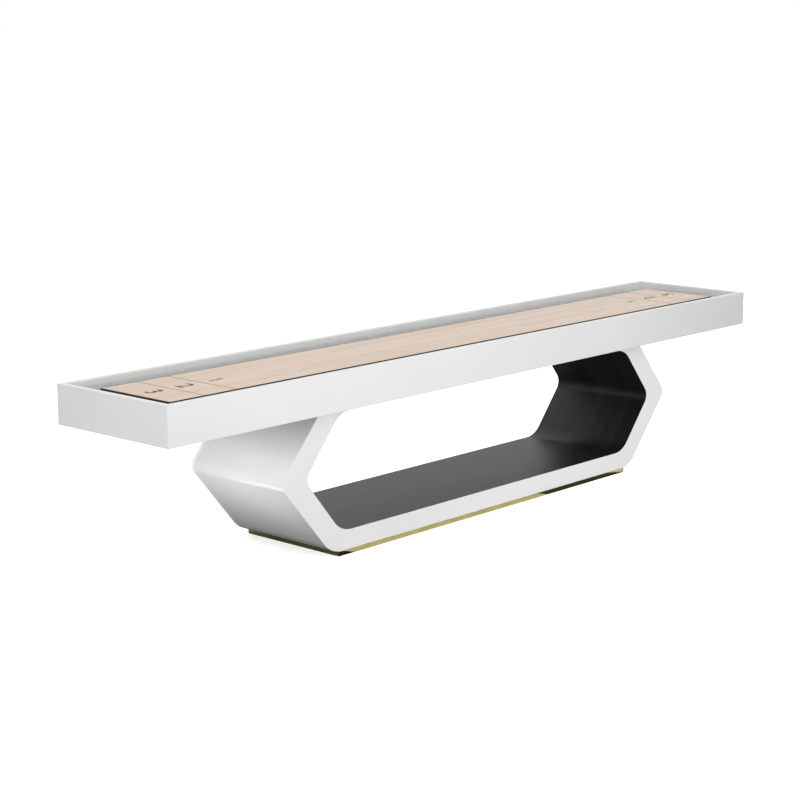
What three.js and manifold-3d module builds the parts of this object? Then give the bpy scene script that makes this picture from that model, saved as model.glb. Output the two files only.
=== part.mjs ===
// Shuffleboard table: a mitred cabinet carrying a maple playfield, on a hollow six-sided ring base with a
// metal plinth. Millimetres, +Z up, X along the playfield, origin on the floor under the table's centre.
import * as THREE from "three";
import { mergeVertices } from "three/addons/utils/BufferGeometryUtils.js";
import Module from "manifold-3d";

const wasm = await Module();
wasm.setup();

// ---------- driving dimensions ----------
const gap = 0.3; // clearance left between pieces that touch
const tableHeight = 785; // floor to the top of the rails
const cabinet = { length: 3892, width: 646, railHeight: 164, railThickness: 25, grooveDepth: 10 };
const board = { length: 3658, width: 406, thickness: 38, belowRim: 21, edgeBand: 3 };
const deckThickness = 12;
const felt = { thickness: 3, belowRim: 3, underBoard: 7 };
const plinth = { length: 1991, height: 22, barThickness: 12 };
const ring = { depth: 540, height: 666, barThickness: 82, facePanel: 18, shell: 12, plate: 18 };
const liner = { thickness: 12, lip: 3 }; // the lip laps over the face panels' inner edges
const ringOuter = { cornerX: 1041, waistX: 1327, cornerRadius: 135, waistRadius: 48 };
const ringInner = { cornerX: 983, waistX: 1190, cornerRadius: 125, waistRadius: 55 };
const ribThickness = 18;
const ribX = 500; // ribs in the bottom and top beams stand this far from the centre
const bearer = { width: 60, length: 300, positions: [-1725, -575, 575, 1725] };
const adjuster = {
  positions: { left: -1150, center: 0, right: 1150 },
  width: 50, // of each bracket, along X
  plate: 4, // bracket steel
  flange: 40, // screwed to the board's underside
  legY: 178, // inner face of each bracket leg
  legHeight: 23.5,
  boltRadius: 5,
  holeRadius: 5.6,
  headAcrossFlats: 16,
  headHeight: 6.4,
  tail: 10, // bolt beyond the rear bracket
};
const foot = {
  x: 880,
  y: 190,
  padRadius: 25,
  padHeight: 8,
  clearance: 1, // the pad's height above the floor when wound right in
  stemRadius: 6,
  stemTop: 82,
  hexAcrossFlats: 17,
  hexHeight: 6,
  holeRadius: 6.6,
};
const tieBolt = {
  x: 700,
  y: 180,
  radius: 5,
  holeRadius: 5.6,
  headAcrossFlats: 17,
  headHeight: 6.4,
  washer: 11,
  accessRadius: 16, // hole in the ring's ceiling, for a socket
};

// ---------- heights that follow from them ----------
const railBottom = tableHeight - cabinet.railHeight;
const ringBottom = plinth.height;
const ringTop = ringBottom + ring.height;
const deckBottom = ringTop + gap;
const deckTop = deckBottom + deckThickness;
const boardTop = tableHeight - board.belowRim;
const boardBottom = boardTop - board.thickness;
const feltTop = tableHeight - felt.belowRim;
Object.assign(ringOuter, { low: ringBottom, high: ringTop });
Object.assign(ringInner, { low: ringBottom + ring.barThickness, high: ringTop - ring.barThickness });

// ---------- materials ----------
const finish = (color, roughness, metalness = 0) =>
  new THREE.MeshStandardMaterial({ color, roughness, metalness });
const whiteLacquer = finish(0xeeeeee, 0.35);
const maple = finish(0xdbcab2, 0.3);
const darkOak = finish(0x3a3a3a, 0.55);
const blackEdge = finish(0x1c1a18, 0.5);
const greyFelt = finish(0xb9b9b8, 0.95);
const brass = finish(0xb4a068, 0.22, 1);
const plywood = finish(0xc8ad86, 0.7);
const zincSteel = finish(0x9a9c9e, 0.4, 1);
const blackPad = finish(0x222222, 0.8);

const table = new THREE.Group();

// ---------- solids, joins and cuts ----------
function toSolid(geometry) {
  const bare = geometry.index ? geometry.toNonIndexed() : geometry.clone();
  bare.deleteAttribute("normal");
  bare.deleteAttribute("uv");
  const merged = mergeVertices(bare, 1e-3);
  return new wasm.Manifold(
    new wasm.Mesh({
      numProp: 3,
      vertProperties: merged.attributes.position.array,
      triVerts: new Uint32Array(merged.index.array),
    }),
  );
}

function toGeometry(solid) {
  const mesh = solid.getMesh();
  const geometry = new THREE.BufferGeometry();
  geometry.setAttribute("position", new THREE.BufferAttribute(mesh.vertProperties, 3));
  geometry.setIndex(new THREE.BufferAttribute(mesh.triVerts, 1));
  geometry.computeVertexNormals();
  return geometry;
}

const join = (...geometries) =>
  toGeometry(geometries.map(toSolid).reduce((whole, piece) => whole.add(piece)));
const cut = (geometry, ...tools) =>
  toGeometry(tools.map(toSolid).reduce((rest, tool) => rest.subtract(tool), toSolid(geometry)));

function addPiece(name, geometry, material, position = [0, 0, 0]) {
  const mesh = new THREE.Mesh(geometry, material);
  mesh.name = name;
  mesh.position.set(...position);
  table.add(mesh);
  return mesh;
}

// A box between two corners, in its group's own coordinates.
function boxBetween([x0, x1], [y0, y1], [z0, z1]) {
  return new THREE.BoxGeometry(x1 - x0, y1 - y0, z1 - z0).translate(
    (x0 + x1) / 2,
    (y0 + y1) / 2,
    (z0 + z1) / 2,
  );
}

// An upright cylinder from z0 to z1. Six sides make a hexagon, turned so that a corner points along X.
function upright(radius, z0, z1, sides = 20) {
  return new THREE.CylinderGeometry(radius, radius, z1 - z0, sides)
    .rotateX(Math.PI / 2)
    .translate(0, 0, (z0 + z1) / 2);
}

const hexRadius = (acrossFlats) => acrossFlats / Math.sqrt(3);
const fourPlaces = (x, y) => [-1, 1].flatMap((i) => [-1, 1].map((j) => [i * x, j * y]));

// ---------- mitred bars ----------
// A straight bar whose section is drawn as (depth from the outer face, height). Each end is cut at 45 degrees:
// the bar is halfLength long at its outer face and loses one millimetre of half length per millimetre of depth.
function mitredBar(section, halfLength) {
  const geometry = new THREE.ExtrudeGeometry(section, { depth: 2, bevelEnabled: false, curveSegments: 1 });
  const p = geometry.attributes.position;
  for (let i = 0; i < p.count; i++) {
    const depth = p.getX(i);
    const along = (p.getZ(i) - 1) * (halfLength - depth - gap / 2);
    p.setXYZ(i, along, depth, p.getY(i));
  }
  geometry.computeVertexNormals();
  return geometry;
}

// Four mitred bars round a rectangle: the front one's outer face looks along -Y.
function mitredFrame(names, section, length, width, material) {
  const sides = [
    [names[0], length, 0, [0, -width / 2]],
    [names[1], length, Math.PI, [0, width / 2]],
    [names[2], width, -Math.PI / 2, [-length / 2, 0]],
    [names[3], width, Math.PI / 2, [length / 2, 0]],
  ];
  for (const [name, size, turn, [x, y]] of sides) {
    const bar = addPiece(name, mitredBar(section, size / 2), material, [x, y, 0]);
    bar.rotation.z = turn;
  }
}

function rectangle(x0, x1, y0, y1) {
  return new THREE.Shape([
    new THREE.Vector2(x0, y0),
    new THREE.Vector2(x1, y0),
    new THREE.Vector2(x1, y1),
    new THREE.Vector2(x0, y1),
  ]);
}

// ---------- cabinet ----------
// A rail's section: a board on edge with a groove in its inner face that houses the deck.
function railSection() {
  const inner = cabinet.railThickness;
  const bottom = inner - cabinet.grooveDepth;
  return new THREE.Shape(
    [
      [0, railBottom],
      [inner, railBottom],
      [inner, deckBottom - gap],
      [bottom, deckBottom - gap],
      [bottom, deckTop + gap],
      [inner, deckTop + gap],
      [inner, tableHeight],
      [0, tableHeight],
    ].map(([x, y]) => new THREE.Vector2(x, y)),
  );
}

function addCabinet() {
  mitredFrame(
    ["side_rail_front", "side_rail_rear", "end_rail_left", "end_rail_right"],
    railSection(),
    cabinet.length,
    cabinet.width,
    whiteLacquer,
  );
  const inGroove = cabinet.railThickness - cabinet.grooveDepth + gap;
  const deckX = cabinet.length / 2 - inGroove;
  const deckY = cabinet.width / 2 - inGroove;
  for (const [side, name] of [[-1, "deck_left"], [1, "deck_right"]]) {
    const panel = boxBetween([0, deckX - gap / 2], [-deckY, deckY], [deckBottom, deckTop]).translate(gap / 2, 0, 0);
    const holes = [-1, 1].map((y) =>
      upright(tieBolt.holeRadius, deckBottom - 1, deckTop + 1).translate(tieBolt.x, y * tieBolt.y, 0),
    );
    const drilled = addPiece(name, cut(panel, ...holes), whiteLacquer);
    drilled.rotation.z = side > 0 ? 0 : Math.PI;
  }
}

// Felt on the gutter floor and up the rail's inner face. The side pieces run the full length and the end
// pieces fit between them.
function addGutterFelt() {
  const wallX = cabinet.length / 2 - cabinet.railThickness - gap;
  const wallY = cabinet.width / 2 - cabinet.railThickness - gap;
  const floor = [deckTop + gap, deckTop + gap + felt.thickness];
  const underSide = board.width / 2 - felt.underBoard;
  const underEnd = board.length / 2 - felt.underBoard;
  for (const [turn, name] of [[0, "gutter_felt_front"], [Math.PI, "gutter_felt_rear"]]) {
    const wall = boxBetween([-wallX, wallX], [-wallY, felt.thickness - wallY], [floor[0], feltTop]);
    const base = boxBetween([-wallX, wallX], [-wallY, -underSide], floor);
    addPiece(name, join(wall, base), greyFelt).rotation.z = turn;
  }
  const between = wallY - felt.thickness - gap;
  const inside = underSide - gap;
  for (const [turn, name] of [[Math.PI, "gutter_felt_left"], [0, "gutter_felt_right"]]) {
    const wall = boxBetween([wallX - felt.thickness, wallX], [-between, between], [floor[1] + gap, feltTop]);
    const foot = boxBetween([wallX - felt.thickness, wallX], [-inside, inside], [floor[0], floor[1] + 2 * gap]);
    const base = boxBetween([underEnd, wallX], [-inside, inside], floor);
    addPiece(name, join(wall, foot, base), greyFelt).rotation.z = turn;
  }
}

// ---------- playfield ----------
function addPlayfield() {
  const [x, y] = [board.length / 2 - board.edgeBand - gap, board.width / 2 - board.edgeBand - gap];
  addPiece("playfield_board", boxBetween([-x, x], [-y, y], [boardBottom, boardTop]), maple);
  mitredFrame(
    ["edge_band_front", "edge_band_rear", "edge_band_left", "edge_band_right"],
    rectangle(0, board.edgeBand, boardBottom, boardTop),
    board.length,
    board.width,
    blackEdge,
  );
  const half = [bearer.width / 2, bearer.length / 2];
  bearer.positions.forEach((at, i) => {
    const block = boxBetween([-half[0], half[0]], [-half[1], half[1]], [deckTop + gap, boardBottom - gap]);
    addPiece(`bearer_${i + 1}`, block, plywood, [at, 0, 0]);
  });
}

// A climatic adjuster: two angle brackets under the board, drawn together or apart by one long bolt whose
// head faces the front gutter. The rear bracket carries a welded nut.
function addAdjuster(side, at) {
  const axisZ = (deckTop + boardBottom) / 2;
  const top = boardBottom - gap;
  const { legY, plate, flange, width } = adjuster;
  const alongY = (radius, y0, y1, sides = 16) =>
    upright(radius, y0, y1, sides).rotateX(-Math.PI / 2).translate(0, 0, axisZ);

  const bracket = (withNut) => {
    const leg = boxBetween([-width / 2, width / 2], [legY, legY + plate], [top - adjuster.legHeight, top]);
    const wing = boxBetween([-width / 2, width / 2], [legY + plate - flange, legY + plate], [top - plate, top]);
    const nut = alongY(hexRadius(adjuster.headAcrossFlats), legY + plate - 1, legY + plate + 8, 6);
    const solid = withNut ? join(leg, wing, nut) : join(leg, wing);
    return cut(solid, alongY(adjuster.holeRadius, legY - 1, legY + plate + 9));
  };
  addPiece(`adjuster_bracket_front_${side}`, bracket(false), zincSteel, [at, 0, 0]).rotation.z = Math.PI;
  addPiece(`adjuster_bracket_rear_${side}`, bracket(true), zincSteel, [at, 0, 0]);

  const headFace = -(legY + plate + gap);
  const head = alongY(hexRadius(adjuster.headAcrossFlats), headFace - adjuster.headHeight, headFace, 6);
  const shank = alongY(adjuster.boltRadius, headFace - 1, legY + plate + adjuster.tail);
  addPiece(`adjuster_bolt_${side}`, join(head, shank), zincSteel, [at, 0, 0]);
}

// ---------- ring base ----------
// Half of a six-sided ring outline, from the bottom round the waist at +X to the top, drawn in (x, z). inset
// moves it towards the opening. It starts and ends where the flat meets the corner's arc.
function halfRing(outline, inset) {
  const { cornerX, waistX, low, high, cornerRadius, waistRadius } = outline;
  const corners = [
    [cornerX, low, cornerRadius],
    [waistX, (low + high) / 2, waistRadius],
    [cornerX, high, cornerRadius],
  ];
  const track = [[0, low], ...corners, [0, high]].map(([x, z]) => new THREE.Vector2(x, z));
  const degreesPerStep = 9;
  const points = [];
  corners.forEach(([, , radius], i) => {
    const outward = [0, 1].map((k) => {
      const d = track[i + k + 1].clone().sub(track[i + k]).normalize();
      return Math.atan2(-d.x, d.y);
    });
    const [from, to] = outward;
    const half = (to - from) / 2;
    const middle = (from + to) / 2;
    const centre = track[i + 1]
      .clone()
      .addScaledVector(new THREE.Vector2(Math.cos(middle), Math.sin(middle)), -radius / Math.cos(half));
    const steps = Math.ceil(THREE.MathUtils.radToDeg(2 * half) / degreesPerStep);
    for (let s = 0; s <= steps; s++) {
      const a = from + ((to - from) * s) / steps;
      points.push(new THREE.Vector2(Math.cos(a), Math.sin(a)).multiplyScalar(radius - inset).add(centre));
    }
  });
  return points;
}

const mirrorX = (points) => points.map((p) => new THREE.Vector2(-p.x, p.y)).reverse();
const closedRing = (outline) => [...halfRing(outline, 0), ...mirrorX(halfRing(outline, 0))];

// Extrudes an (x, z) outline along Y, from y0 to y1.
function alongDepth(shape, y0, y1) {
  return new THREE.ExtrudeGeometry(shape, { depth: y1 - y0, bevelEnabled: false })
    .rotateX(Math.PI / 2)
    .translate(0, y1, 0);
}

function addRingFaces() {
  const half = ring.depth / 2;
  const face = new THREE.Shape(closedRing(ringOuter));
  face.holes.push(new THREE.Path(closedRing(ringInner)));
  addPiece("face_panel_front", alongDepth(face, -half, ring.facePanel - half), whiteLacquer);
  addPiece("face_panel_rear", alongDepth(face, half - ring.facePanel, half), whiteLacquer);
}

// Half of a bent skin between two insets of an outline, mirrored for the left.
function bentSkin(outline, outside, inside, side, y0, y1) {
  const right = [...halfRing(outline, outside), ...halfRing(outline, inside).reverse()];
  return alongDepth(new THREE.Shape(side > 0 ? right : mirrorX(right)), y0, y1);
}

// The bent skins: the outer shell between the face panels, and the liner, whose lip runs out over their edges.
function addRingSkins() {
  const half = ring.depth / 2;
  const between = half - ring.facePanel - gap;
  const inner = liner.lip + gap;
  for (const [side, name] of [[-1, "left"], [1, "right"]]) {
    const shell = bentSkin(ringOuter, 0, ring.shell, side, -between, between);
    const lip = bentSkin(ringInner, gap, inner, side, -half, half);
    const backing = bentSkin(ringInner, inner - liner.thickness, inner, side, -between, between);
    addPiece(`shell_${name}`, shell, whiteLacquer);
    addPiece(`liner_${name}`, join(lip, backing), darkOak);
  }
}

// The flat plates that close the ring between the skins, and the ribs inside its hollow.
function addRingPlates() {
  const between = ring.depth / 2 - ring.facePanel - gap;
  const shellStart = halfRing(ringOuter, 0)[0].x - gap;
  const linerStart = halfRing(ringInner, 0)[0].x - gap;
  const drilled = (panel, z, radius, places) =>
    cut(panel, ...places.map(([x, y]) => upright(radius, z[0] - 1, z[1] + 1).translate(x, y, 0)));
  const plate = (z) => boxBetween([-shellStart, shellStart], [-between, between], z);
  const feet = fourPlaces(foot.x, foot.y);
  const bolts = fourPlaces(tieBolt.x, tieBolt.y);
  const bottomPlate = [ringBottom + gap, ringBottom + ring.plate];
  const topPlate = [ringTop - ring.plate, ringTop];
  const floorTop = ringInner.low + liner.lip + gap;
  const floor = [floorTop - liner.thickness, floorTop];
  const ceilingFace = ringInner.high - liner.lip - gap;
  const ceiling = [ceilingFace, ceilingFace + liner.thickness];
  const lipped = (z, lipZ) =>
    join(
      boxBetween([-linerStart, linerStart], [-between, between], z),
      boxBetween([-linerStart, linerStart], [-ring.depth / 2, ring.depth / 2], lipZ),
    );
  addPiece("bottom_plate", drilled(plate(bottomPlate), bottomPlate, foot.holeRadius, feet), plywood);
  addPiece("top_plate", drilled(plate(topPlate), topPlate, tieBolt.holeRadius, bolts), plywood);
  addPiece("liner_floor", lipped(floor, [ringInner.low + gap, floorTop]), darkOak);
  const roof = lipped(ceiling, [ceilingFace, ringInner.high - gap]);
  addPiece("liner_ceiling", drilled(roof, ceiling, tieBolt.accessRadius, bolts), darkOak);

  for (const [side, name] of [[-1, "left"], [1, "right"]]) {
    const inBeam = [side * ribX - ribThickness / 2, side * ribX + ribThickness / 2];
    const across = [-between, between];
    const lower = boxBetween(inBeam, across, [bottomPlate[1] + gap, floor[0] - gap]);
    const upper = boxBetween(inBeam, across, [ceiling[1] + gap, topPlate[0] - gap]);
    addPiece(`rib_bottom_${name}`, lower, plywood);
    addPiece(`rib_top_${name}`, upper, plywood);
  }
}

// A rib across each waist, from the liner's back to the shell's inner face.
function addWaistRibs() {
  const between = ring.depth / 2 - ring.facePanel - gap;
  const middle = (ringBottom + ringTop) / 2;
  const furthest = (points) => Math.max(...points.map((p) => p.x));
  const bow = 2; // how far each skin curves away over the rib's thickness
  const from = furthest(halfRing(ringInner, liner.lip + gap - liner.thickness)) + gap;
  const to = furthest(halfRing(ringOuter, ring.shell)) - bow;
  const rib = boxBetween([from, to], [-between, between], [middle - ribThickness / 2, middle + ribThickness / 2]);
  addPiece("rib_waist_right", rib, plywood);
  addPiece("rib_waist_left", rib.clone().rotateZ(Math.PI), plywood);
}

// Bolts up through the top plate into the deck: they hold the cabinet to the base. A socket reaches each head
// through an access hole in the ring's ceiling.
function addTieBolts() {
  const seat = ringTop - ring.plate - gap;
  const washer = upright(tieBolt.washer, seat - 2, seat);
  const head = upright(hexRadius(tieBolt.headAcrossFlats), seat - 2 - tieBolt.headHeight, seat - 1, 6);
  const shank = upright(tieBolt.radius, seat - 3, deckTop - 1, 16);
  const whole = join(head, washer, shank);
  fourPlaces(tieBolt.x, tieBolt.y).forEach(([x, y], i) => {
    addPiece(`tie_bolt_${i + 1}`, whole, zincSteel, [x, y, 0]);
  });
}

// ---------- plinth and levelling feet ----------
function addPlinth() {
  mitredFrame(
    ["plinth_bar_front", "plinth_bar_rear", "plinth_bar_left", "plinth_bar_right"],
    rectangle(0, plinth.barThickness, 0, plinth.height - gap),
    plinth.length,
    ring.depth,
    brass,
  );
}

// A threaded stem that turns in the bottom plate, and the pad that it carries down without turning.
function addFoot(name, x, y) {
  const { padRadius, padHeight, clearance, stemRadius, hexHeight } = foot;
  const profile = [
    [0, 0],
    [padRadius, 0],
    [padRadius, padHeight * 0.4],
    [padRadius * 0.6, padHeight],
    [0, padHeight],
  ].map(([r, z]) => new THREE.Vector2(r, z + clearance));
  const pad = new THREE.LatheGeometry(profile, 24).rotateX(Math.PI / 2);
  addPiece(`foot_pad_${name}`, pad, blackPad, [x, y, 0]);

  const base = clearance + padHeight + gap;
  const hex = upright(hexRadius(foot.hexAcrossFlats), base, base + hexHeight, 6);
  const stem = upright(stemRadius, base + 1, foot.stemTop, 16);
  addPiece(`foot_stem_${name}`, join(hex, stem), zincSteel, [x, y, 0]);
}

addCabinet();
addGutterFelt();
addPlayfield();
for (const [side, at] of Object.entries(adjuster.positions)) addAdjuster(side, at);
addRingFaces();
addRingSkins();
addRingPlates();
addWaistRibs();
addTieBolts();
addPlinth();
addFoot("front_left", -foot.x, -foot.y);
addFoot("front_right", foot.x, -foot.y);
addFoot("rear_left", -foot.x, foot.y);
addFoot("rear_right", foot.x, foot.y);

export default table;
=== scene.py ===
import math

import bmesh
import bpy
from mathutils import Matrix, Vector


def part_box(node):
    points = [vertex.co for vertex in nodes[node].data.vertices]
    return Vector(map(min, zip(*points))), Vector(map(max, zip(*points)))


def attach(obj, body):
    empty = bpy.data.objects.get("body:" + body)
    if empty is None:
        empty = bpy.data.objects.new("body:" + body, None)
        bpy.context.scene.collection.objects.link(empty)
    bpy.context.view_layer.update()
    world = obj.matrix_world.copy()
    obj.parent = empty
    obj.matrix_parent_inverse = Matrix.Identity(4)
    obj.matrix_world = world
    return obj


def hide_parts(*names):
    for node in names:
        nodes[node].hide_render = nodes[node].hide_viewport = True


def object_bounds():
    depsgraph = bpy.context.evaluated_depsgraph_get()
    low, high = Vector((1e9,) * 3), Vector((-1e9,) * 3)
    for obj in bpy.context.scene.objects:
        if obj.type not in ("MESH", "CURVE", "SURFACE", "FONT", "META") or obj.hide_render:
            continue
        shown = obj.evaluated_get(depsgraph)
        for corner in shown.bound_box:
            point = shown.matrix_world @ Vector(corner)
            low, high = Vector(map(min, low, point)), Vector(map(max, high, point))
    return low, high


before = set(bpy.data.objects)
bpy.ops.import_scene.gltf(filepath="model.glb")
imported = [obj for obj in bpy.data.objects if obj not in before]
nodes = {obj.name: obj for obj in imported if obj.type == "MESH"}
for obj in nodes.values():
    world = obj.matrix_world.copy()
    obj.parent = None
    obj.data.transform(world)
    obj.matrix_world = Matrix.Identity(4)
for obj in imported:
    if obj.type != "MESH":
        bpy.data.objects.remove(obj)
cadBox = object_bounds()
print("frame loaded:", len(nodes), "nodes")

mm = 0.001


# small helpers for node materials

def startMaterial(name):
    material = bpy.data.materials.new(name)
    material.use_nodes = True
    tree = material.node_tree
    shader = next(n for n in tree.nodes if n.type == "BSDF_PRINCIPLED")
    return material, tree, shader


def addNode(tree, kind, inputs=None, **settings):
    node = tree.nodes.new(kind)
    for key, value in settings.items():
        setattr(node, key, value)
    for key, value in (inputs or {}).items():
        plug(tree, value, node.inputs[key])
    return node


def plug(tree, source, socket):
    # source is a socket to link, or a constant to set
    if isinstance(source, bpy.types.NodeSocket):
        tree.links.new(source, socket)
    else:
        socket.default_value = source


def mathNode(tree, operation, *values):
    node = tree.nodes.new("ShaderNodeMath")
    node.operation = operation
    for i, value in enumerate(values):
        plug(tree, value, node.inputs[i])
    return node.outputs[0]


def surfaceSpace(tree, space, stretch):
    # the piece's own space, in metres, scaled so that a texture runs along the grain
    coordinates = addNode(tree, "ShaderNodeTexCoord")
    mapping = addNode(tree, "ShaderNodeMapping", {"Vector": coordinates.outputs[space]})
    mapping.inputs["Scale"].default_value = stretch
    return mapping.outputs["Vector"]


def noise(tree, vector, scale, detail=4.0, roughness=0.55, distortion=0.0):
    node = addNode(tree, "ShaderNodeTexNoise", {
        "Vector": vector, "Scale": scale, "Detail": detail,
        "Roughness": roughness, "Distortion": distortion,
    })
    return node.outputs["Fac"]


def remap(tree, value, low, high, newLow, newHigh):
    node = addNode(tree, "ShaderNodeMapRange", {
        "Value": value, "From Min": low, "From Max": high, "To Min": newLow, "To Max": newHigh,
    })
    return node.outputs["Result"]


def ramp(tree, value, stops):
    node = addNode(tree, "ShaderNodeValToRGB", {"Fac": value})
    elements = node.color_ramp.elements
    while len(elements) < len(stops):
        elements.new(0.5)
    for element, (position, color) in zip(elements, stops):
        element.position = position
        element.color = (*color, 1.0)
    return node.outputs["Color"]


def mixColor(tree, factor, first, second):
    node = tree.nodes.new("ShaderNodeMix")
    node.data_type = "RGBA"
    plug(tree, factor, node.inputs[0])
    plug(tree, first, node.inputs[6])  # the colour sockets come after those for numbers and vectors
    plug(tree, second, node.inputs[7])
    return node.outputs[2]


def addBump(tree, shader, height, distance, strength=1.0):
    values = {"Height": height, "Distance": distance, "Strength": strength}
    bump = addNode(tree, "ShaderNodeBump", values)
    tree.links.new(bump.outputs["Normal"], shader.inputs["Normal"])


def blend(tree, first, share, second, otherShare):
    # two values added, each with its own share
    return mathNode(tree, "ADD", mathNode(tree, "MULTIPLY", first, share),
                    mathNode(tree, "MULTIPLY", second, otherShare))


def colorFrom(tree, shader, value, stops):
    tree.links.new(ramp(tree, value, stops), shader.inputs["Base Color"])


def roughnessFrom(tree, shader, value, rough, low=0.3, high=0.7):
    # a noise rarely leaves low to high, so that span is spread over the whole range of roughness
    tree.links.new(remap(tree, value, low, high, *rough), shader.inputs["Roughness"])


def setSockets(shader, values):
    for socket, value in values.items():
        shader.inputs[socket].default_value = value


plainSpace = (1, 1, 1)  # unstretched


# white lacquer

lacquer = {
    "color": (0.675, 0.675, 0.677),
    "worn": (0.655, 0.655, 0.654),
    "cloud": 2.2,
    "smear": 14.0,
    "roughness": (0.30, 0.40),
    "orangePeel": 0.004,  # metres across one ripple of the sprayed coat
    "ripple": 0.000012,
    "coat": 0.15, "coatRoughness": 0.2,
}


def makeLacquer():
    material, tree, shader = startMaterial("white_lacquer_sprayed")
    space = surfaceSpace(tree, "Object", plainSpace)
    cloud = noise(tree, space, lacquer["cloud"], 3.0)
    colorFrom(tree, shader, cloud, [(0.35, lacquer["worn"]), (0.62, lacquer["color"])])
    smear = noise(tree, space, lacquer["smear"], 5.0)
    roughnessFrom(tree, shader, smear, lacquer["roughness"])
    peel = noise(tree, space, 1 / lacquer["orangePeel"], 2.0)
    addBump(tree, shader, peel, lacquer["ripple"])
    setSockets(shader, {"Coat Weight": lacquer["coat"], "Coat Roughness": lacquer["coatRoughness"]})
    return material


# black-stained oak veneer

stainedOak = {
    "deep": (0.0035, 0.0035, 0.0037),
    "mid": (0.008, 0.0079, 0.0078),
    "light": (0.018, 0.0177, 0.0174),
    "fleck": (0.030, 0.029, 0.028),
    "fleckShare": 0.35,
    "figure": (1.2, 14, 14),
    "flecks": (60, 420, 1),
    "poreLength": 0.03,
    "poreWidth": 0.0007,
    "poreDepth": 0.00006,
    "roughness": (0.31, 0.48),
    "specular": 0.33,
}


def makeStainedOak():
    # the liner's UVs are metres, and the grain runs along the first of them
    material, tree, shader = startMaterial("black_oak_veneer")
    broad = noise(tree, surfaceSpace(tree, "UV", stainedOak["figure"]), 1.0, 4.0, 0.6, 0.6)
    poreSpace = surfaceSpace(tree, "UV", (1 / stainedOak["poreLength"], 1 / stainedOak["poreWidth"], 1))
    pores = noise(tree, poreSpace, 1.0, 3.0, 0.7)
    fleck = noise(tree, surfaceSpace(tree, "UV", stainedOak["flecks"]), 1.0, 2.0)
    color = ramp(tree, blend(tree, broad, 0.6, pores, 0.4), [
        (0.38, stainedOak["deep"]), (0.5, stainedOak["mid"]), (0.62, stainedOak["light"])])
    fleckMask = remap(tree, fleck, 0.55, 0.75, 0.0, stainedOak["fleckShare"])
    color = mixColor(tree, fleckMask, color, (*stainedOak["fleck"], 1))
    tree.links.new(color, shader.inputs["Base Color"])
    roughnessFrom(tree, shader, pores, stainedOak["roughness"])
    poreOpening = remap(tree, pores, 0.38, 0.5, 0.0, 1.0)
    addBump(tree, shader, poreOpening, stainedOak["poreDepth"], 0.8)
    setSockets(shader, {"Specular IOR Level": stainedOak["specular"]})
    return material


# maple playfield

mapleStrip = {
    "width": 0.0254,
    "length": 1.35,
    "stagger": 9.0,  # how far one row's butt joints may stand from the next row's, in lengths
    "glueLine": 0.018,  # share of a strip's width that reads as the joint
    "buttLine": 0.0005,  # share of a strip's length that reads as the joint
    "glueShare": 0.55,
    "pale": (0.590, 0.405, 0.261),
    "warm": (0.508, 0.338, 0.207),
    "mineral": (0.370, 0.240, 0.139),
    "glue": (0.42, 0.30, 0.20),
    "grain": (2.4, 85.0),
    "fibre": (22.0, 900.0),
    "grainShift": 37.0,
    "fibreDepth": 0.00002,
    "roughness": (0.22, 0.34),
    "coat": 0.45, "coatRoughness": 0.12,
}


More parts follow.
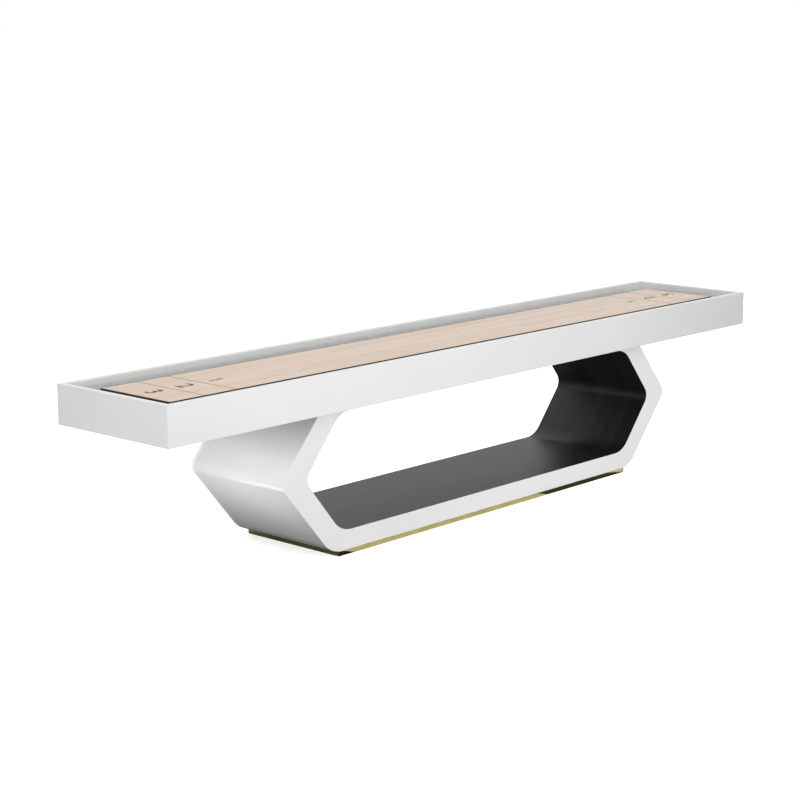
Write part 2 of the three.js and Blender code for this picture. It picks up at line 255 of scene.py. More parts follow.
def makeMaple():
    material, tree, shader = startMaterial("maple_strips_clear_coat")
    coordinates = addNode(tree, "ShaderNodeTexCoord")
    axes = addNode(tree, "ShaderNodeSeparateXYZ", {"Vector": coordinates.outputs["Object"]})
    x, y = axes.outputs["X"], axes.outputs["Y"]
    row = mathNode(tree, "DIVIDE", mathNode(tree, "ADD", y, 1.0), mapleStrip["width"])
    rowIndex = mathNode(tree, "FLOOR", row)
    rowNoise = addNode(tree, "ShaderNodeTexWhiteNoise", {"W": rowIndex}, noise_dimensions="1D")
    column = mathNode(tree, "ADD", mathNode(tree, "DIVIDE", x, mapleStrip["length"]),
                      mathNode(tree, "MULTIPLY", rowNoise.outputs["Value"], mapleStrip["stagger"]))
    columnIndex = mathNode(tree, "FLOOR", column)
    cell = addNode(tree, "ShaderNodeCombineXYZ", {"X": rowIndex, "Y": columnIndex}).outputs["Vector"]
    staveNoise = addNode(tree, "ShaderNodeTexWhiteNoise", {"Vector": cell}, noise_dimensions="2D")
    stave = staveNoise.outputs["Value"]

    # every stave has its own piece of grain, long in X and fine across
    slide = mathNode(tree, "MULTIPLY", stave, mapleStrip["grainShift"])
    along, across = mapleStrip["grain"]
    grainSpace = addNode(tree, "ShaderNodeCombineXYZ", {
        "X": mathNode(tree, "ADD", mathNode(tree, "MULTIPLY", x, along), slide),
        "Y": mathNode(tree, "ADD", mathNode(tree, "MULTIPLY", y, across), slide),
        "Z": slide,
    }).outputs["Vector"]
    grain = noise(tree, grainSpace, 1.0, 6.0, 0.62, 0.5)
    along, across = mapleStrip["fibre"]
    fibreSpace = addNode(tree, "ShaderNodeCombineXYZ", {
        "X": mathNode(tree, "MULTIPLY", x, along),
        "Y": mathNode(tree, "MULTIPLY", y, across),
        "Z": slide,
    }).outputs["Vector"]
    fibre = noise(tree, fibreSpace, 1.0, 3.0)

    tone = mathNode(tree, "ADD", blend(tree, grain, 0.5, stave, 0.38),
                    mathNode(tree, "MULTIPLY", fibre, 0.12))
    color = ramp(tree, tone, [
        (0.18, mapleStrip["mineral"]), (0.36, mapleStrip["warm"]), (0.58, mapleStrip["pale"])])
    acrossStrip, alongStave = mathNode(tree, "FRACT", row), mathNode(tree, "FRACT", column)
    joint = mathNode(tree, "MAXIMUM",
                     mathNode(tree, "LESS_THAN", acrossStrip, mapleStrip["glueLine"]),
                     mathNode(tree, "LESS_THAN", alongStave, mapleStrip["buttLine"]))
    glueMask = mathNode(tree, "MULTIPLY", joint, mapleStrip["glueShare"])
    color = mixColor(tree, glueMask, color, (*mapleStrip["glue"], 1))
    tree.links.new(color, shader.inputs["Base Color"])

    polish = noise(tree, surfaceSpace(tree, "Object", (3, 9, 1)), 1.0, 5.0)
    roughnessFrom(tree, shader, polish, mapleStrip["roughness"])
    addBump(tree, shader, fibre, mapleStrip["fibreDepth"], 0.5)
    setSockets(shader, {
        "Coat Weight": mapleStrip["coat"], "Coat Roughness": mapleStrip["coatRoughness"]})
    return material


# black edge band and the stain of the scoring marks

edgeWood = {
    "dark": (0.010, 0.009, 0.008), "light": (0.030, 0.027, 0.023),
    "grain": (3, 3, 260), "grainDepth": 0.00003, "roughness": (0.38, 0.52), "specular": 0.25,
}

markStain = {
    "dark": (0.030, 0.019, 0.010), "light": (0.075, 0.047, 0.024),
    "grain": (30, 700, 1), "roughness": (0.42, 0.55), "specular": 0.15,
}


def makeBlackEdge():
    material, tree, shader = startMaterial("black_edge_hardwood")
    grain = noise(tree, surfaceSpace(tree, "Object", edgeWood["grain"]), 1.0, 5.0, 0.6, 0.4)
    colorFrom(tree, shader, grain, [(0.3, edgeWood["dark"]), (0.7, edgeWood["light"])])
    roughnessFrom(tree, shader, grain, edgeWood["roughness"])
    addBump(tree, shader, grain, edgeWood["grainDepth"])
    setSockets(shader, {"Specular IOR Level": edgeWood["specular"]})
    return material


def makeInlay():
    material, tree, shader = startMaterial("scoring_stain")
    grain = noise(tree, surfaceSpace(tree, "Object", markStain["grain"]), 1.0, 4.0)
    colorFrom(tree, shader, grain, [(0.3, markStain["dark"]), (0.7, markStain["light"])])
    roughnessFrom(tree, shader, grain, markStain["roughness"])
    setSockets(shader, {"Specular IOR Level": markStain["specular"]})
    return material


# grey felt

felt = {
    "light": (0.725, 0.725, 0.72), "dark": (0.605, 0.605, 0.605),
    "fibre": 0.0012, "patches": 26.0, "nap": 0.0005,
    "roughness": (0.86, 1.0), "sheen": 0.35, "sheenRoughness": 0.5,
}


def makeFelt():
    material, tree, shader = startMaterial("grey_felt_lining")
    space = surfaceSpace(tree, "Object", plainSpace)
    matted = noise(tree, space, 1 / felt["fibre"], 5.0, 0.75, 0.8)
    patches = noise(tree, space, felt["patches"], 3.0)
    tone = blend(tree, matted, 0.7, patches, 0.3)
    colorFrom(tree, shader, tone, [(0.32, felt["dark"]), (0.62, felt["light"])])
    roughnessFrom(tree, shader, matted, felt["roughness"])
    addBump(tree, shader, matted, felt["nap"], 0.7)
    setSockets(shader, {"Sheen Weight": felt["sheen"], "Sheen Roughness": felt["sheenRoughness"]})
    return material


# brass plinth

brass = {
    "bright": (0.95, 0.86, 0.40), "dull": (0.80, 0.71, 0.30), "roughness": (0.07, 0.15),
    "brushing": (6, 6, 2600), "brushDepth": 0.000006, "tarnish": 7.0,
}


def makeBrass():
    material, tree, shader = startMaterial("brass_brushed")
    lines = noise(tree, surfaceSpace(tree, "Object", brass["brushing"]), 1.0, 3.0, 0.7)
    tarnish = noise(tree, surfaceSpace(tree, "Object", plainSpace), brass["tarnish"], 6.0, 0.65)
    colorFrom(tree, shader, tarnish, [(0.34, brass["dull"]), (0.60, brass["bright"])])
    roughnessFrom(tree, shader, blend(tree, lines, 0.5, tarnish, 0.5), brass["roughness"], 0.35, 0.65)
    addBump(tree, shader, lines, brass["brushDepth"], 0.6)
    setSockets(shader, {"Metallic": 1.0})
    return material


# plywood, zinc plate and moulded pads of the hidden pieces

birch = {
    "dark": (0.42, 0.27, 0.145), "mid": (0.56, 0.40, 0.235), "light": (0.66, 0.50, 0.32),
    "grain": (2.2, 60, 60), "speck": (90, 900, 900), "grainDepth": 0.00012, "roughness": (0.62, 0.78),
}

zincPlate = {
    "dark": (0.34, 0.35, 0.36), "light": (0.58, 0.60, 0.62),
    "spangle": 260.0, "smear": 90.0, "smearDepth": 0.00002, "roughness": (0.26, 0.46),
}

mouldedPad = {
    "dark": (0.012, 0.012, 0.012), "light": (0.035, 0.034, 0.033),
    "pebble": 900.0, "dust": 40.0, "pebbleDepth": 0.0001, "roughness": (0.5, 0.72),
}


def makePlywood():
    material, tree, shader = startMaterial("birch_plywood")
    grain = noise(tree, surfaceSpace(tree, "Object", birch["grain"]), 1.0, 6.0, 0.6, 1.0)
    speck = noise(tree, surfaceSpace(tree, "Object", birch["speck"]), 1.0, 2.0)
    tone = blend(tree, grain, 0.75, speck, 0.25)
    colorFrom(tree, shader, tone, [(0.30, birch["dark"]), (0.5, birch["mid"]), (0.7, birch["light"])])
    roughnessFrom(tree, shader, grain, birch["roughness"])
    addBump(tree, shader, tone, birch["grainDepth"])
    return material


def makeZinc():
    material, tree, shader = startMaterial("zinc_plate")
    space = surfaceSpace(tree, "Object", plainSpace)
    spangle = addNode(tree, "ShaderNodeTexVoronoi", {"Vector": space, "Scale": zincPlate["spangle"]})
    smear = noise(tree, space, zincPlate["smear"], 4.0)
    tone = blend(tree, spangle.outputs["Distance"], 0.3, smear, 1.0)
    colorFrom(tree, shader, tone, [(0.35, zincPlate["dark"]), (0.85, zincPlate["light"])])
    roughnessFrom(tree, shader, smear, zincPlate["roughness"])
    addBump(tree, shader, smear, zincPlate["smearDepth"])
    setSockets(shader, {"Metallic": 1.0})
    return material


def makeBlackPad():
    material, tree, shader = startMaterial("black_moulded_pad")
    space = surfaceSpace(tree, "Object", plainSpace)
    pebble = noise(tree, space, mouldedPad["pebble"], 3.0)
    dust = noise(tree, space, mouldedPad["dust"], 4.0)
    colorFrom(tree, shader, dust, [(0.35, mouldedPad["dark"]), (0.75, mouldedPad["light"])])
    roughnessFrom(tree, shader, pebble, mouldedPad["roughness"])
    addBump(tree, shader, pebble, mouldedPad["pebbleDepth"])
    return material


whiteLacquer = makeLacquer()
oakVeneer = makeStainedOak()
maple = makeMaple()
blackEdge = makeBlackEdge()
inlay = makeInlay()
greyFelt = makeFelt()
brassPlinth = makeBrass()
plywood = makePlywood()
zincSteel = makeZinc()
blackPad = makeBlackPad()
print("materials made")


# mesh helpers

finishing = {"body": "table", "sharpAngle": 40}  # the fixed body; a sharper bend than this is an edge


def finishPiece(name, mesh, material, replaced):
    # outward faces, smooth where the surface bends, and flat beside a rounded arris
    mesh.normal_update()
    bmesh.ops.recalc_face_normals(mesh, faces=mesh.faces)
    data = bpy.data.meshes.new(name)
    mesh.to_mesh(data)
    mesh.free()
    data.materials.append(material)
    data.shade_smooth()
    data.set_sharp_from_angle(angle=math.radians(finishing["sharpAngle"]))
    piece = bpy.data.objects.new(name, data)
    bpy.context.scene.collection.objects.link(piece)
    weighted = piece.modifiers.new("flat_faces_stay_flat", "WEIGHTED_NORMAL")
    weighted.keep_sharp = True
    weighted.weight = 100
    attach(piece, finishing["body"])
    if replaced:
        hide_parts(*replaced)
    return piece


def roundedSection(corners, steps=4):
    # corners are (x, y, radius); each is replaced by an arc that meets both of its sides
    points = []
    count = len(corners)
    for i, (x, y, radius) in enumerate(corners):
        here = Vector((x, y))
        if radius <= 0:
            points.append(here)
            continue
        before = (Vector(corners[i - 1][:2]) - here).normalized()
        after = (Vector(corners[(i + 1) % count][:2]) - here).normalized()
        half = before.angle(after) / 2
        start = here + before * (radius / math.tan(half))
        centre = here + (before + after).normalized() * (radius / math.sin(half))
        spoke = start - centre
        turn = math.pi - 2 * half
        if before.cross(after) > 0:
            turn = -turn
        for s in range(steps + 1):
            arm = spoke.copy()
            arm.rotate(Matrix.Rotation(turn * s / steps, 2))
            points.append(centre + arm)
    return points


def bridge(mesh, rings):
    # quads between neighbouring rings of vertices
    for first, second in zip(rings, rings[1:]):
        size = len(first)
        for i in range(size):
            j = (i + 1) % size
            mesh.faces.new((first[i], first[j], second[j], second[i]))


mitre = {"steps": 5, "start": 4 * mm}  # rings at each end, and how far before the joint they begin


def mitredBar(name, section, halfLength, corner, turn, centre, material, thickness):
    # The section is (depth behind the outer face, height).
    # The upright edge at each mitre is rounded over the corner's radius.
    mesh = bmesh.new()
    placed = Matrix.Translation((*centre, 0)) @ Matrix.Rotation(turn, 4, "Z")
    steps = mitre["steps"]
    start = halfLength - thickness - mitre["start"]

    def reach(depth, step):
        if step == 0:
            return start, depth
        if depth < corner:
            angle = math.radians(45) * (step - 1) / (steps - 1)
            arm = corner - depth
            return halfLength - corner + arm * math.sin(angle), corner - arm * math.cos(angle)
        return start + (halfLength - depth - start) * step / steps, depth

    rings = []
    for side in (-1, 1):
        stations = range(steps, -1, -1) if side < 0 else range(steps + 1)
        for step in stations:
            ring = []
            for depth, height in section:
                along, into = reach(depth, step)
                ring.append(mesh.verts.new(placed @ Vector((side * along, into, height))))
            rings.append(ring)
    bridge(mesh, rings)
    mesh.faces.new(rings[0])
    mesh.faces.new(rings[-1])
    return finishPiece(name + "_finished", mesh, material, [name])


def flatFace(mesh, corners, height):
    mesh.faces.new([mesh.verts.new((*corner, height)) for corner in corners])


def mitredSet(names, section, length, width, corner, thickness, material, gap):
    # names of the front, rear, left and right bars
    places = (
        (names[0], length, 0.0, (0, -width / 2)),
        (names[1], length, math.pi, (0, width / 2)),
        (names[2], width, -math.pi / 2, (-length / 2, 0)),
        (names[3], width, math.pi / 2, (length / 2, 0)),
    )
    for name, size, turn, centre in places:
        mitredBar(name, section, size / 2 - gap, corner, turn, centre, material, thickness)


# cabinet

rimLow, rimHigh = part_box("side_rail_front")
deckLow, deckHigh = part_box("deck_right")
tableLength = cadBox[1].x - cadBox[0].x
tableWidth = cadBox[1].y - cadBox[0].y

cabinet = {
    "thickness": rimHigh.y - rimLow.y,
    "groove": 10 * mm,
    "clearance": 0.3 * mm,
    "rimArris": 1.6 * mm,
    "lowerArris": 1.2 * mm,
    "cornerRadius": 2.2 * mm,
    "jointGap": 0.05 * mm,  # half the hairline at each mitre
}


def makeCabinet():
    inner = cabinet["thickness"]
    bottom = inner - cabinet["groove"]
    low, high = rimLow.z, rimHigh.z
    floor, ceiling = deckLow.z - cabinet["clearance"], deckHigh.z + cabinet["clearance"]
    section = roundedSection([
        (0, low, cabinet["lowerArris"]),
        (inner, low, cabinet["lowerArris"]),
        (inner, floor, 0), (bottom, floor, 0), (bottom, ceiling, 0), (inner, ceiling, 0),
        (inner, high, cabinet["rimArris"]),
        (0, high, cabinet["rimArris"]),
    ])
    mitredSet(("side_rail_front", "side_rail_rear", "end_rail_left", "end_rail_right"), section,
              tableLength, tableWidth, cabinet["cornerRadius"], inner, whiteLacquer,
              cabinet["jointGap"])


makeCabinet()
print("cabinet made")


# playfield

boardLow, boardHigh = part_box("playfield_board")
bandLow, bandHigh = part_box("edge_band_front")

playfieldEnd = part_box("edge_band_right")[1].x

board = {
    "arris": 0.3 * mm,
    "bandWidth": 4.2 * mm,
    "bandArris": 0.6 * mm, "innerArris": 0.2 * mm,
    "cornerRadius": 1.0 * mm,
    "bandGap": 0.05 * mm,
}
bandOverlap = board["bandWidth"] - (bandHigh.y - bandLow.y)  # how far the band comes in over the maple

scoring = {
    "lines": (0.1795, 0.342),  # from each end of the playfield to the middle of a line
    "lineWidth": 4 * mm,
    "lineShort": 0.4 * mm,  # of the maple's edges
    "numerals": (("3", 0.098), ("2", 0.258), ("1", 0.419)),
    "numeralHeight": 0.078,
    "numeralWeight": 0.012,
    "strokeWidth": 9 * mm,  # of the upright in the 1
    "flag": 17 * mm, "flagSlope": 0.8,
    "proud": 0.12 * mm,
    "topsTowardCentre": True,
}

lining = {
    "thickness": 3 * mm, "tuck": 4 * mm,
    "arris": 1.0 * mm, "cornerRadius": 0.3 * mm, "gap": 0.02 * mm,
}


def boxMesh(low, high, arris, steps=3):
    mesh = bmesh.new()
    size, centre = high - low, (low + high) / 2
    bmesh.ops.create_cube(mesh, size=1, matrix=Matrix.Translation(centre) @ Matrix.Diagonal((*size, 1)))
    bmesh.ops.bevel(mesh, geom=mesh.edges[:], offset=arris, segments=steps, profile=0.5, affect="EDGES")
    return mesh


def makeBoard():
    depth = board["bandWidth"]
    trim = Vector((bandOverlap, bandOverlap, 0))
    finishPiece("playfield_maple", boxMesh(boardLow + trim, boardHigh - trim, board["arris"]), maple,
                ["playfield_board"])
    section = roundedSection([
        (0, bandLow.z, board["bandArris"]), (depth, bandLow.z, 0),
        (depth, bandHigh.z, board["innerArris"]), (0, bandHigh.z, board["bandArris"]),
    ])
    mitredSet(("edge_band_front", "edge_band_rear", "edge_band_left", "edge_band_right"), section,
              2 * playfieldEnd, -2 * bandLow.y, board["cornerRadius"], depth, blackEdge,
              board["bandGap"])


def oneMesh(height):
    # an upright stroke with a short flag
    top, half = height / 2, scoring["strokeWidth"] / 2
    flag, slope = scoring["flag"], scoring["flagSlope"]
    tip = top - slope * flag
    outline = ((-half, -top), (half, -top), (half, top), (0, top),
               (-flag, tip), (-flag, tip - 2 * half), (-half, top - 2 * slope * half))
    mesh = bmesh.new()
    flatFace(mesh, outline, 0)
    data = bpy.data.meshes.new("numeral")
    mesh.to_mesh(data)
    mesh.free()
    return data


def numeralMesh(digit, height):
    if digit == "1":
        return oneMesh(height)
    curve = bpy.data.curves.new("numeral", "FONT")
    curve.body = digit
    curve.align_x = "CENTER"
    curve.resolution_u = 8
    curve.offset = scoring["numeralWeight"]
    holder = bpy.data.objects.new("numeral", curve)
    bpy.context.scene.collection.objects.link(holder)
    depsgraph = bpy.context.evaluated_depsgraph_get()
    data = bpy.data.meshes.new_from_object(holder.evaluated_get(depsgraph))
    bpy.data.objects.remove(holder)
    bpy.data.curves.remove(curve)
    low = Vector(map(min, *(v.co for v in data.vertices)))
    high = Vector(map(max, *(v.co for v in data.vertices)))
    middle = (low + high) / 2
    scale = height / (high.y - low.y)
    data.transform(Matrix.Scale(scale, 4) @ Matrix.Translation(-middle))
    return data


def makeScoring(side, name):
    # thin inlays, a hair proud of the maple
    top = boardHigh.z
    mesh = bmesh.new()
    reach = boardHigh.y - bandOverlap - scoring["lineShort"]
    half = scoring["lineWidth"] / 2
    for distance in scoring["lines"]:
        middle = side * (playfieldEnd - distance)
        left, right = middle - half, middle + half
        flatFace(mesh, ((left, -reach), (right, -reach), (right, reach), (left, reach)), top)
    up = -side if scoring["topsTowardCentre"] else side
    turn = Matrix.Rotation(math.radians(-90 * up), 4, "Z")
    for digit, distance in scoring["numerals"]:
        data = numeralMesh(digit, scoring["numeralHeight"])
        data.transform(Matrix.Translation((side * (playfieldEnd - distance), 0, top)) @ turn)
        mesh.from_mesh(data)
        bpy.data.meshes.remove(data)
    bmesh.ops.remove_doubles(mesh, verts=mesh.verts[:], dist=0.00001)
    raised = bmesh.ops.extrude_face_region(mesh, geom=mesh.faces[:])
    bmesh.ops.translate(mesh, vec=(0, 0, scoring["proud"]),
                        verts=[g for g in raised["geom"] if isinstance(g, bmesh.types.BMVert)])
    finishPiece(name, mesh, inlay, [])


def makeLining():
    # an L of felt up the rim's inner face and across the gutter's floor, tucked under the board
    wallLow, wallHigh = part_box("gutter_felt_front")
    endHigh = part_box("gutter_felt_right")[1]
    reach = endHigh.x - boardHigh.x + lining["tuck"]
    floor = wallLow.z + lining["thickness"]
    section = roundedSection([
        (0, wallLow.z, 0), (reach, wallLow.z, 0), (reach, floor, 0), (lining["thickness"], floor, 0),
        (lining["thickness"], wallHigh.z, lining["arris"]), (0, wallHigh.z, 0),
    ])
    mitredSet(("gutter_felt_front", "gutter_felt_rear", "gutter_felt_left", "gutter_felt_right"), section,
              2 * endHigh.x, -2 * wallLow.y, lining["cornerRadius"], reach, greyFelt,
              lining["gap"])


makeBoard()
makeLining()
makeScoring(-1, "scoring_marks_left")
makeScoring(1, "scoring_marks_right")
print("playfield made")


# ring base

faceLow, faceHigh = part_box("face_panel_front")
rearLow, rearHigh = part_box("face_panel_rear")

ring = {
    "low": faceLow.z, "high": faceHigh.z,
    "bar": 82 * mm,
    "panel": faceHigh.y - faceLow.y,
    "shell": 12 * mm,
    "shellGap": 0.05 * mm,  # between the shell's edges and the face panels
    "linerBack": -8.7 * mm, "lip": 1.0 * mm,
    "gap": 0.2 * mm,
    "bendGap": 0.05 * mm,  # between a flat length of liner and the bends
    "outer": {
        "cornerX": 1041 * mm, "waistX": 1327 * mm, "cornerRadius": 135 * mm, "waistRadius": 48 * mm},
    "inner": {
        "cornerX": 983 * mm, "waistX": 1190 * mm, "cornerRadius": 125 * mm, "waistRadius": 55 * mm},
    "cornerSteps": 20, "waistSteps": 26,
    "arris": 1.0 * mm, "innerArris": 0.4 * mm,
}
ring["outer"].update(low=ring["low"], high=ring["high"])
ring["inner"].update(low=ring["low"] + ring["bar"], high=ring["high"] - ring["bar"])


def halfRing(outline, inset):
    # from the bottom flat round the waist at +X to the top flat, as (x, z)
    # inset moves it towards the middle of the opening
    low, high = outline["low"], outline["high"]
    corners = (
        (outline["cornerX"], low, outline["cornerRadius"], ring["cornerSteps"]),
        (outline["waistX"], (low + high) / 2, outline["waistRadius"], ring["waistSteps"]),
        (outline["cornerX"], high, outline["cornerRadius"], ring["cornerSteps"]),
    )
    track = [Vector((0, low)), *(Vector(c[:2]) for c in corners), Vector((0, high))]
    points = []
    for i, (_, _, radius, steps) in enumerate(corners):
        outward = []
        for k in (0, 1):
            d = (track[i + k + 1] - track[i + k]).normalized()
            outward.append(math.atan2(-d.x, d.y))
        half = (outward[1] - outward[0]) / 2
        middle = (outward[1] + outward[0]) / 2
        centre = track[i + 1] - Vector((math.cos(middle), math.sin(middle))) * (radius / math.cos(half))
        for s in range(steps + 1):
            angle = outward[0] + 2 * half * s / steps
            spoke = Vector((math.cos(angle), math.sin(angle)))
            points.append(centre + spoke * (radius - inset))
    return points


def closedRing(outline, inset):
    half = halfRing(outline, inset)
    return half + [Vector((-p.x, p.y)) for p in reversed(half)]


def arcProfile(radius, steps=4):
    # (sideways, forward) steps round a quarter arris, from the side face to the front face
    return [(radius * (1 - math.cos(a)), radius * math.sin(a))
            for a in (math.radians(90) * s / steps for s in range(steps + 1))]


def makeFacePanel(node, name, back, front):
    mesh = bmesh.new()
    facing = 1 if front > back else -1
    loops = [(ring["inner"], 0.0, back), (ring["outer"], 0.0, back)]
    for side, forward in arcProfile(ring["arris"]):
        loops.append((ring["outer"], side, front - facing * (ring["arris"] - forward)))
    for side, forward in reversed(arcProfile(ring["innerArris"])):
        loops.append((ring["inner"], -side, front - facing * (ring["innerArris"] - forward)))
    rings = []
    for outline, inset, y in loops:
        rings.append([mesh.verts.new((p.x, y, p.y)) for p in closedRing(outline, inset)])
    bridge(mesh, rings + [rings[0]])
    finishPiece(name, mesh, whiteLacquer, [node])


def sweep(name, node, stations, profile, material, whiteEdges=False):
    # The profile is (inset, y), closed.
    # Each station is metres along the grain and a place for each inset.
    # The UVs are metres along and across. White edges are those that face straight forward or back.
    mesh = bmesh.new()
    uvLayer = mesh.loops.layers.uv.new("metres")
    edge = max(y for _, y in profile)
    near = 1e-6
    rings = []
    grain = {}
    for run, place in stations:
        ringVerts = []
        for inset, y in profile:
            p = place(inset)
            vert = mesh.verts.new((p.x, y, p.y))
            grain[vert] = (run, y)
            ringVerts.append(vert)
        rings.append(ringVerts)
    bridge(mesh, rings)
    mesh.faces.new(rings[0])
    mesh.faces.new(rings[-1])
    for face in mesh.faces:
        onEdge = all(abs(abs(v.co.y) - edge) < near for v in face.verts)
        face.material_index = 1 if whiteEdges and onEdge else 0
        for loop in face.loops:
            loop[uvLayer].uv = grain[loop.vert]
    piece = finishPiece(name, mesh, material, [node])
    if whiteEdges:
        piece.data.materials.append(whiteLacquer)
    return piece


def sweepBend(name, node, outline, profile, side, material, whiteEdges=False):
    tracks = {inset: halfRing(outline, inset) for inset, _ in profile}
    guide = halfRing(outline, max(inset for inset, _ in profile))
    run = [guide[0].x]
    for a, b in zip(guide, guide[1:]):
        run.append(run[-1] + (b - a).length)

    def station(i):
        return side * run[i], lambda inset: Vector((side * tracks[inset][i].x, tracks[inset][i].y))

    stations = [station(i) for i in range(len(guide))]
    return sweep(name, node, stations, profile, material, whiteEdges)


def sweepStraight(name, node, outline, profile, upward, material):
    # the flat run between the two bends, floor or ceiling
    reach = halfRing(outline, 0.0)[0 if upward else -1].x - ring["bendGap"]
    level = outline["low"] if upward else outline["high"]
    lift = 1 if upward else -1

    def station(x):
        return x, lambda inset: Vector((x, level + lift * inset))

    stations = [station(-reach), station(0.0), station(reach)]
    return sweep(name, node, stations, profile, material, True)


def linerProfile():
    # the lip laps over the face panels' edges, with its outer corners eased
    half = rearHigh.y
    between = half - ring["panel"] - ring["gap"]
    surface = ring["lip"] + ring["gap"]
    back = ring["linerBack"]
    return roundedSection([
        (surface, -half, ring["innerArris"]), (surface, half, ring["innerArris"]),
        (ring["gap"], half, 0), (ring["gap"], between, 0),
        (back, between, 0), (back, -between, 0),
        (ring["gap"], -between, 0), (ring["gap"], -half, 0),
    ], 3)


def makeRingBase():
    half = rearHigh.y
    makeFacePanel("face_panel_front", "face_panel_front_finished", faceHigh.y, faceLow.y)
    makeFacePanel("face_panel_rear", "face_panel_rear_finished", rearLow.y, rearHigh.y)
    between = half - ring["panel"] - ring["shellGap"]
    shell = ring["shell"]
    shellProfile = [(0.0, -between), (0.0, between), (shell, between), (shell, -between)]
    liner = [(round(p.x, 6), p.y) for p in linerProfile()]  # insets that are the same share one track
    for side, where in ((-1, "left"), (1, "right")):
        sweepBend(f"shell_{where}_finished", f"shell_{where}", ring["outer"], shellProfile, side,
                  whiteLacquer)
        sweepBend(f"liner_{where}_veneered", f"liner_{where}", ring["inner"], liner, side,
                  oakVeneer, True)
    for where, upward in (("floor", True), ("ceiling", False)):
        sweepStraight(f"liner_{where}_veneered", f"liner_{where}", ring["inner"], liner, upward,
                      oakVeneer)


makeRingBase()
print("ring base made")


# plinth

barLow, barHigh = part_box("plinth_bar_front")
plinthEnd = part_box("plinth_bar_right")[1].x

plinth = {"arris": 0.7 * mm, "footArris": 0.3 * mm, "cornerRadius": 1.2 * mm, "jointGap": 0.05 * mm}


def makePlinth():
    depth = barHigh.y - barLow.y
    section = roundedSection([
        (0, barLow.z, plinth["footArris"]), (depth, barLow.z, 0), (depth, barHigh.z, 0),
        (0, barHigh.z, plinth["arris"]),
    ])
    mitredSet(("plinth_bar_front", "plinth_bar_rear", "plinth_bar_left", "plinth_bar_right"), section,
              2 * plinthEnd, -2 * barLow.y, plinth["cornerRadius"], depth, brassPlinth,
              plinth["jointGap"])


makePlinth()
print("plinth made")


# pieces that keep their own shape

easing = {"wood": 0.5 * mm, "steel": 0.3 * mm, "pad": 0.5 * mm, "edgeAngle": 50}


def dress(starts, material, arris):
    for name in nodes:
        if not name.startswith(starts):
            continue
        for slot in nodes[name].material_slots:
            slot.material = material
        eased = nodes[name].modifiers.new("eased_edges", "BEVEL")
        eased.width = arris
        eased.segments = 2
        eased.limit_method = "ANGLE"
        eased.angle_limit = math.radians(easing["edgeAngle"])


dress(("deck",), whiteLacquer, easing["wood"])
dress(("bearer", "bottom_plate", "top_plate", "rib"), plywood, easing["wood"])
dress(("adjuster", "tie_bolt", "foot_stem"), zincSteel, easing["steel"])
dress(("foot_pad",), blackPad, easing["pad"])
print("remaining nodes dressed")


# stage, light and camera

studio = {
    "floorSize": 900.0,
    "floorColor": (0.92, 0.92, 0.92),
    "floorGlow": 0.55,  # the floor is a lit table, so the shadows on it stay faint
    "bounceSize": 60.0,
    "bounceColor": (0.13, 0.13, 0.13),
    "bounceDrop": 0.001,
    # brightness of the sky against the sine of its height: white horizon, dimmer middle, bright top
    "sky": ((0.0, 1.0), (0.035, 1.0), (0.10, 0.84), (0.45, 0.87), (0.85, 1.30), (1.0, 1.35)),
}

basePieces = ("face_panel_front_finished", "face_panel_rear_finished", "shell_left_finished",
              "shell_right_finished")
farSide = ("side_rail_rear_finished", "end_rail_right_finished", "face_panel_rear_finished",
           "shell_right_finished", "plinth_bar_rear_finished", "plinth_bar_right_finished")

# soft boxes: where each stands, what it faces, its power and size,
# and the only pieces it lights or the ones it spares
lights = {
    "key_light": {
        "place": (-0.5, -2.9, 0.75), "target": (-0.5, 0.0, 0.75), "power": 57.0, "size": (4.2, 0.7)},
    "end_light": {
        "place": (-4.2, -0.6, 0.9), "target": (-1.9, 0.0, 0.7), "power": 26.0, "size": (1.2, 1.0),
        "spares": ("shell_left_finished", "face_panel_front_finished")},
    "rear_light": {
        "place": (0.6, 3.2, 0.75), "target": (0.6, 0.0, 0.75), "power": 48.0, "size": (4.2, 0.7),
        "only": farSide},
    "far_end_light": {
        "place": (4.2, 0.4, 0.7), "target": (1.9, 0.0, 0.6), "power": 26.0, "size": (1.2, 1.0),
        "only": farSide},
    "floor_wash": {
        "place": (-1.6, 0.0, 0.002), "target": (-1.6, 0.0, 1.0), "power": 3.0, "size": (0.3, 0.8),
        "only": basePieces},
    "base_end_fill": {
        "place": (-1.8, -0.1, 0.6), "target": (-1.25, -0.05, 0.42), "power": 0.9, "size": (0.5, 0.15),
        "only": basePieces},
    "under_deck_fill": {
        "place": (-1.45, -0.03, 0.614), "target": (-1.45, -0.03, 0.0), "power": 0.65,
        "size": (0.24, 0.6), "only": basePieces},
    "base_front_fill": {
        "place": (1.1, -2.0, 0.35), "target": (0.8, -0.27, 0.2), "power": 6.0, "size": (1.6, 0.4),
        "only": (*basePieces, "bounce_card", "plinth_bar_front_finished")},
}

# painted shadow and light: dark and pale strips lying in front of the plinth, which only its reflection
# finds, in place of shadows and lit patches on the floor
shadeAndLightStrips = {
    "depth": (-0.42, -0.272), "height": 0.0005,
    # where each edge starts further out, and where it ends by the plinth's foot
    "edges": ((-1.12, -1.06), (-0.96, -0.90), (0.34, 0.40), (0.765, 1.01), (1.06, 1.06)),
    # the first and third greys are painted shadow, the second and fourth painted light on the floor, seen
    # only in the brass's reflection
    "shadeAndLightGreys": (0.01, 0.46, 0.03, 0.54),
}

view = {
    "place": (-6.4592, -5.5445, 2.1946),
    "yaw": 42.103,
    "pitch": -11.457,
    "lens": 86.36,
    "sensor": 36,
    "reach": 200,
}


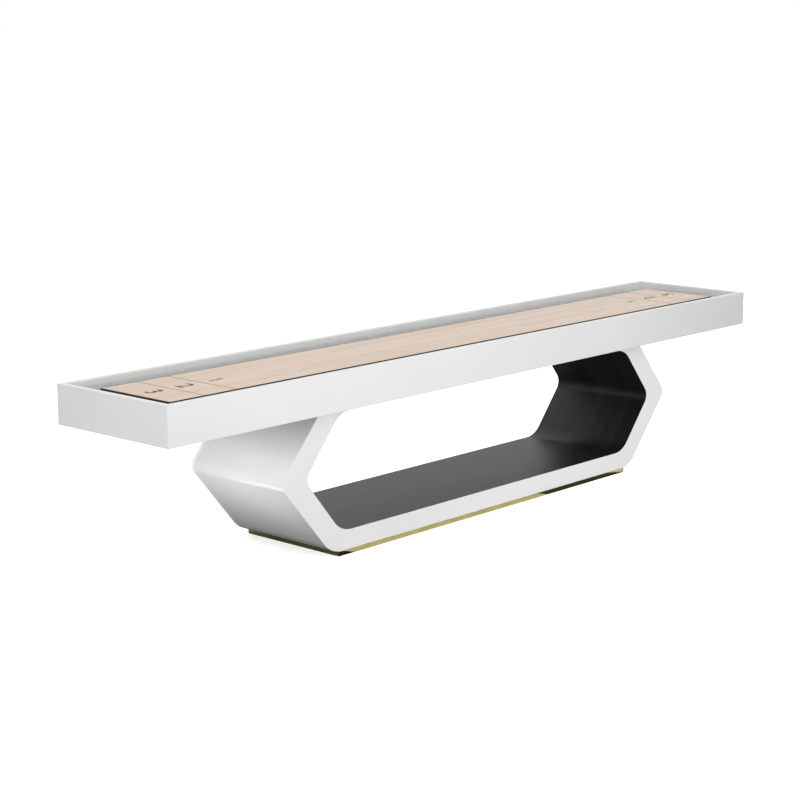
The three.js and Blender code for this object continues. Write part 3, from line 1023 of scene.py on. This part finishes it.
def makePaper(name, color, glow=0.0):
    material, tree, shader = startMaterial(name)
    tone = noise(tree, surfaceSpace(tree, "Object", plainSpace), 0.7, 2.0)
    colorFrom(tree, shader, tone, [(0.2, tuple(0.985 * c for c in color)), (0.8, color)])
    setSockets(shader, {
        "Roughness": 0.9, "Specular IOR Level": 0.0,
        "Emission Color": (1, 1, 1, 1), "Emission Strength": glow,
    })
    return material


def stagePaper(name, mesh, color, glow=0.0):
    data = bpy.data.meshes.new(name)
    mesh.to_mesh(data)
    mesh.free()
    data.materials.append(makePaper(name + "_paper", color, glow))
    paper = bpy.data.objects.new(name, data)
    bpy.context.scene.collection.objects.link(paper)
    return paper


def makeStagePlane(name, size, color, glow=0.0):
    mesh = bmesh.new()
    bmesh.ops.create_grid(mesh, x_segments=8, y_segments=8, size=size / 2)
    return stagePaper(name, mesh, color, glow)


def makeFloor():
    # the pale floor is seen but lights nothing, and the grey card just under it is the other way round
    floor = makeStagePlane(
        "studio_floor", studio["floorSize"], studio["floorColor"], studio["floorGlow"])
    floor.visible_diffuse = floor.visible_glossy = floor.visible_shadow = False
    card = makeStagePlane("bounce_card", studio["bounceSize"], studio["bounceColor"])
    card.location.z = -studio["bounceDrop"]
    card.visible_camera = card.visible_shadow = False


# painted reflection: strips of painted shadow and light that only the brass plinth reflects, hidden from
# the camera, from diffuse light and from shadow rays
def makeShadeAndLightStrips():
    out, foot = shadeAndLightStrips["depth"]
    for i, grey in enumerate(shadeAndLightStrips["shadeAndLightGreys"]):
        (startOut, start), (endOut, end) = shadeAndLightStrips["edges"][i:i + 2]
        mesh = bmesh.new()
        corners = ((startOut, out), (endOut, out), (end, foot), (start, foot))
        flatFace(mesh, corners, shadeAndLightStrips["height"])
        strip = stagePaper(f"floor_strip_{i + 1}", mesh, (grey,) * 3)
        strip.visible_camera = strip.visible_diffuse = strip.visible_shadow = False


def makeLight(name, box):
    lamp = bpy.data.lights.new(name, "AREA")
    lamp.shape = "RECTANGLE"
    lamp.size, lamp.size_y = box["size"]
    lamp.energy = box["power"]
    holder = bpy.data.objects.new(name, lamp)
    holder.location = box["place"]
    aim = Vector(box["target"]) - Vector(box["place"])
    holder.rotation_euler = aim.to_track_quat("-Z", "Y").to_euler()
    holder.visible_camera = False
    bpy.context.scene.collection.objects.link(holder)
    for rule, state in (("only", "INCLUDE"), ("spares", "EXCLUDE")):
        if rule in box:
            chosen = bpy.data.collections.new(f"{name}_{rule}")
            for piece in box[rule]:
                chosen.objects.link(bpy.data.objects[piece])
            for member in chosen.collection_objects:
                member.light_linking.link_state = state
            holder.light_linking.receiver_collection = chosen


def makeSky():
    world = bpy.data.worlds.new("studio_sky")
    world.use_nodes = True
    tree = world.node_tree
    background = next(n for n in tree.nodes if n.type == "BACKGROUND")
    direction = addNode(tree, "ShaderNodeTexCoord").outputs["Generated"]
    height = addNode(tree, "ShaderNodeSeparateXYZ", {"Vector": direction}).outputs["Z"]
    top = max(level for _, level in studio["sky"])
    shade = ramp(tree, height, [(at, (level / top,) * 3) for at, level in studio["sky"]])
    tree.links.new(shade, background.inputs["Color"])
    background.inputs["Strength"].default_value = top
    bpy.context.scene.world = world


def makeCamera():
    lens = bpy.data.cameras.new("studio_camera")
    lens.lens = view["lens"]
    lens.sensor_width = view["sensor"]
    lens.clip_end = view["reach"]
    camera = bpy.data.objects.new("studio_camera", lens)
    camera.location = view["place"]
    camera.rotation_euler = (math.radians(90 + view["pitch"]), 0, math.radians(view["yaw"] - 90))
    bpy.context.scene.collection.objects.link(camera)
    bpy.context.scene.camera = camera


makeFloor()
makeSky()
makeShadeAndLightStrips()
for name, box in lights.items():
    makeLight(name, box)
makeCamera()
bpy.context.scene.view_settings.view_transform = "Standard"
print("studio made")
